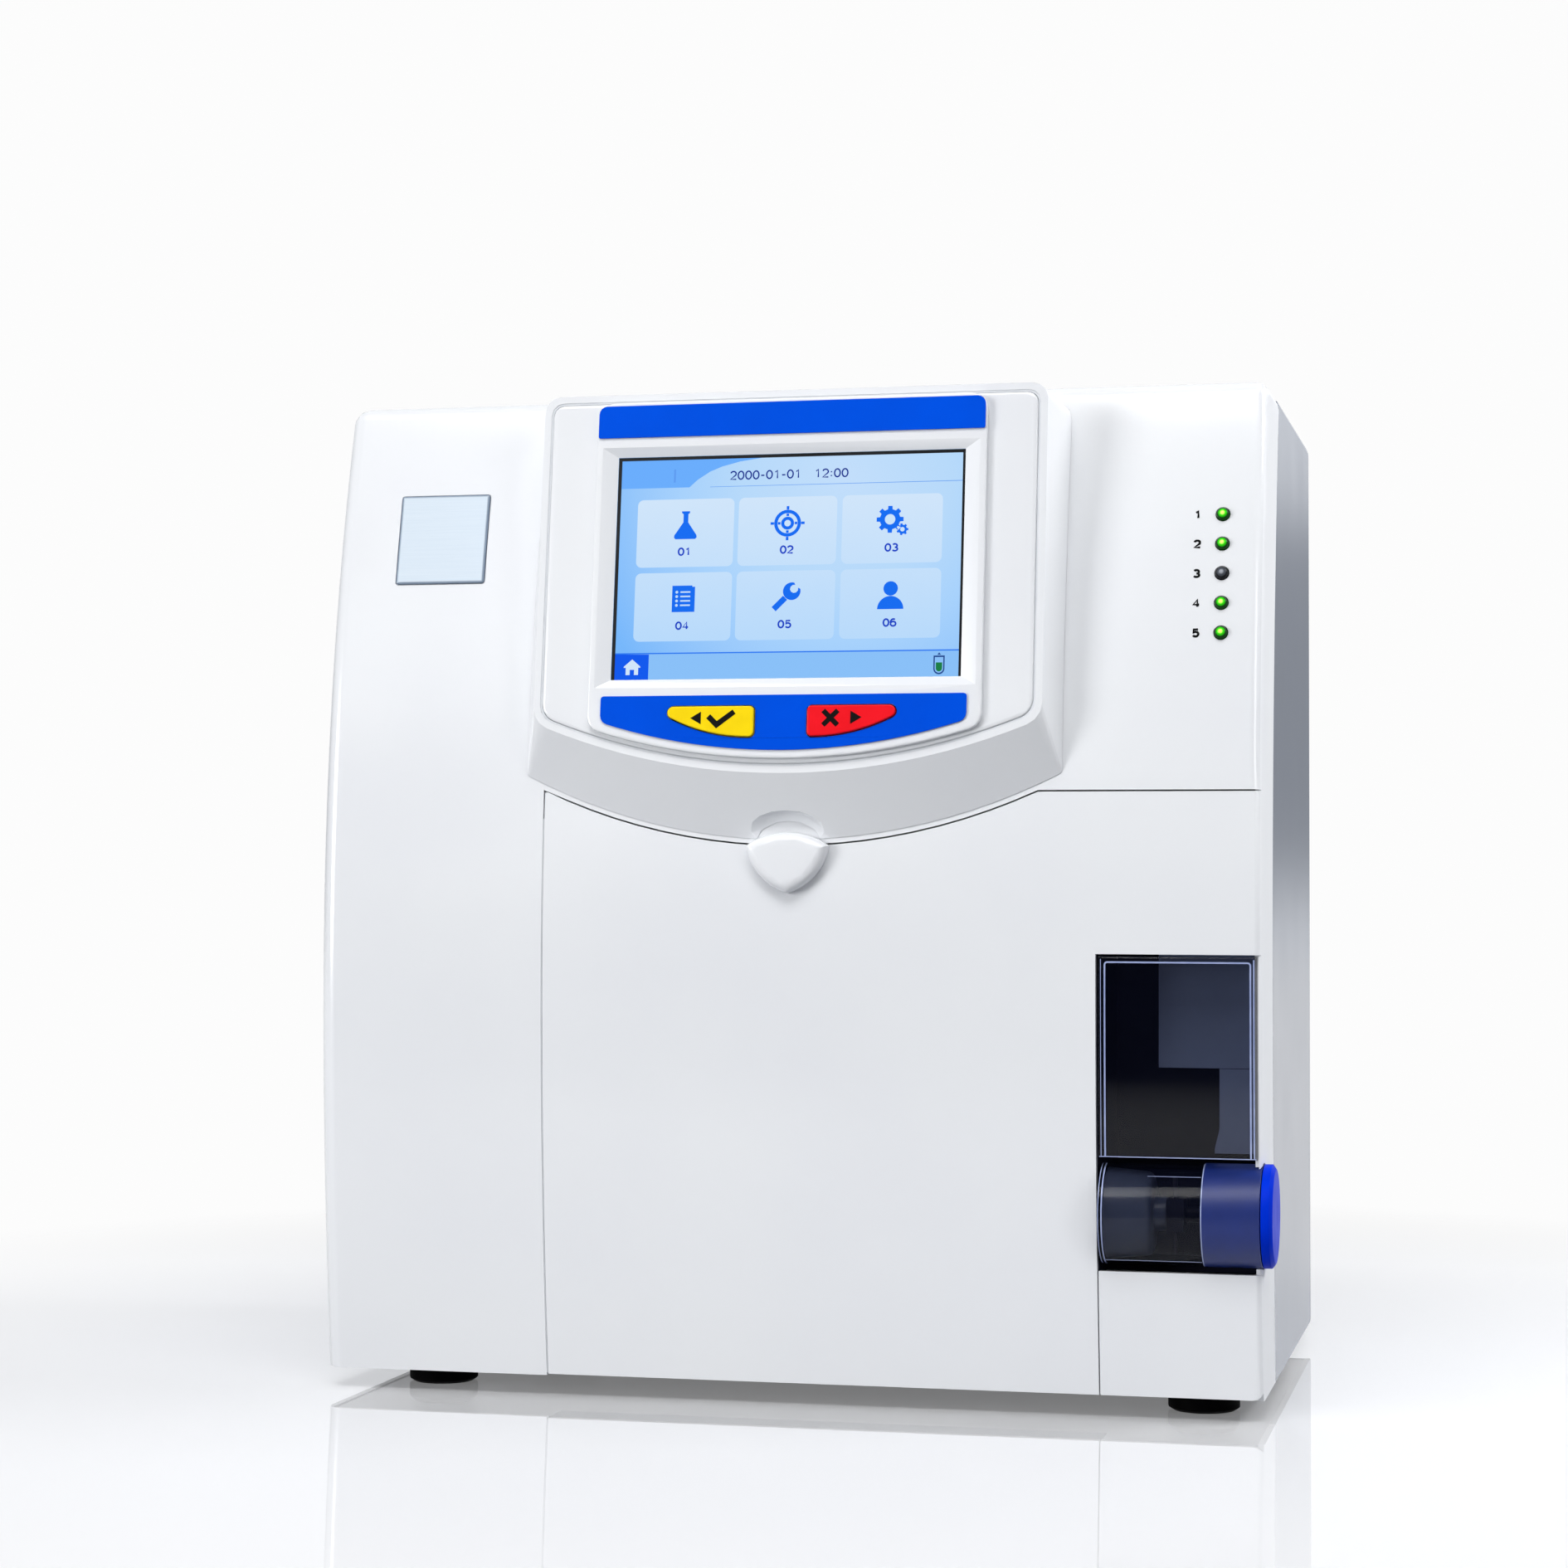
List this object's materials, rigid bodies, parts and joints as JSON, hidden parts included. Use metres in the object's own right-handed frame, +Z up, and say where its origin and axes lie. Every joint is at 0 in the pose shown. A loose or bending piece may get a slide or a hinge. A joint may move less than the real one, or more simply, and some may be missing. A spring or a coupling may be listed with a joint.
{
  "type": "electrolyte analyzer",
  "caption": "Bench electrolyte analyzer with a curved white front, tilted touch-screen head, drop-down front door and smoked sampler window with a turning blue knob.",
  "frame": {"origin": "centre of the footprint at the bottom of the feet", "axes": "+Z up, -Y out of the front, +X to the viewer's right"},
  "size_m": [0.3684, 0.2548, 0.386],
  "materials": {
    "white_shell": "glossy moulded shell",
    "grey_shell": "satin moulded cover",
    "grey_works": "moulded working part",
    "foot_rubber": "black moulded rubber",
    "steel": "plain steel",
    "screen": "touch screen glass over a lit display",
    "charcoal": "dark moulded plastic",
    "circuit_board": "circuit board",
    "blue_band": "printed blue overlay",
    "yellow_key": "yellow key cap",
    "red_key": "red key cap",
    "badge_silver": "pale silver-blue blank plate",
    "light_lens": "indicator lens",
    "smoked": "smoked clear plastic",
    "knob_blue": "translucent blue plastic",
    "cap_blue": "glossy blue cap",
    "clear_acrylic": "pale moulded body",
    "tubing": "soft clear tubing"
  },
  "bodies": {
    "case": {"front_case": "white_shell", "lower_panel": "white_shell", "display_shroud": "white_shell", "display_bezel": "white_shell", "control_panel": "white_shell", "rear_cover": "grey_shell", "base_tray": "grey_shell", "pump_body": "grey_works", "pinch_valve": "grey_works", "electrode_rack": "grey_works", "front_left_foot": "foot_rubber", "front_right_foot": "foot_rubber", "rear_left_foot": "foot_rubber", "rear_right_foot": "foot_rubber", "left_hinge_pin": "steel", "right_hinge_pin": "steel", "door_catch": "steel", "chassis_plate": "steel", "clamp_pin": "steel", "power_supply": "steel", "screen_glass": "screen", "screen_module": "charcoal", "sampler_housing": "charcoal", "power_inlet": "charcoal", "pump_motor": "charcoal", "fan_frame": "charcoal", "display_board": "circuit_board", "key_board": "circuit_board", "status_board": "circuit_board", "main_board": "circuit_board", "upper_band": "blue_band", "lower_band": "blue_band", "badge_plate": "badge_silver", "status_light_1": "light_lens", "status_light_2": "light_lens", "status_light_3": "light_lens", "status_light_4": "light_lens", "status_light_5": "light_lens", "sampler_window": "smoked", "sodium_electrode": "clear_acrylic", "potassium_electrode": "clear_acrylic", "chloride_electrode": "clear_acrylic", "reference_electrode": "clear_acrylic", "reagent_pack": "clear_acrylic", "sample_tube": "tubing", "waste_tube": "tubing"},
    "door": {"front_door": "white_shell", "door_tab": "white_shell"},
    "sampler": {"sampler_drum": "smoked", "sampler_knob": "knob_blue", "knob_cap": "cap_blue", "sampler_shaft": "steel", "drum_hub": "charcoal", "sample_probe": "steel"},
    "left_key_cap": {"left_key": "yellow_key"},
    "right_key_cap": {"right_key": "red_key"},
    "lever": {"clamp_lever": "grey_works"},
    "pump_wheel": {"pump_rotor": "grey_works"},
    "fan_wheel": {"fan_rotor": "charcoal"},
    "rocker": {"power_rocker": "charcoal"}
  },
  "joints": [
    {"name": "door_hinge", "type": "hinge", "parent": "case", "child": "door", "pos_m": [0.00295, -0.0975, 0.015], "axis": [1, 0, 0], "range_deg": [0, 85]},
    {"name": "sampler_turn", "type": "hinge", "parent": "case", "child": "sampler", "pos_m": [0.17975, -0.10241, 0.0757], "axis": [-1, 0, 0], "range_deg": [0, 90]},
    {"name": "left_key_press", "type": "slide", "parent": "case", "child": "left_key_cap", "axis": [0, 0.9925, -0.1219], "range_m": [0, 0.0008], "stiffness_N_per_m": 500, "springref_m": -0.0006},
    {"name": "right_key_press", "type": "slide", "parent": "case", "child": "right_key_cap", "axis": [0, 0.9925, -0.1219], "range_m": [0, 0.0008], "stiffness_N_per_m": 500, "springref_m": -0.0006},
    {"name": "clamp_lever_swing", "type": "hinge", "parent": "case", "child": "lever", "pos_m": [0.06775, -0.03391, 0.145], "axis": [0, 1, 0], "range_deg": [0, 60]},
    {"name": "pump_spin", "type": "hinge", "parent": "case", "child": "pump_wheel", "pos_m": [-0.05725, -0.00591, 0.07], "axis": [0, 1, 0], "continuous": true},
    {"name": "fan_spin", "type": "hinge", "parent": "case", "child": "fan_wheel", "pos_m": [-0.04225, 0.12409, 0.29], "axis": [0, 1, 0], "continuous": true},
    {"name": "rocker_throw", "type": "hinge", "parent": "case", "child": "rocker", "pos_m": [-0.09725, 0.12009, 0.048], "axis": [1, 0, 0], "range_deg": [0, 16]}
  ]
}
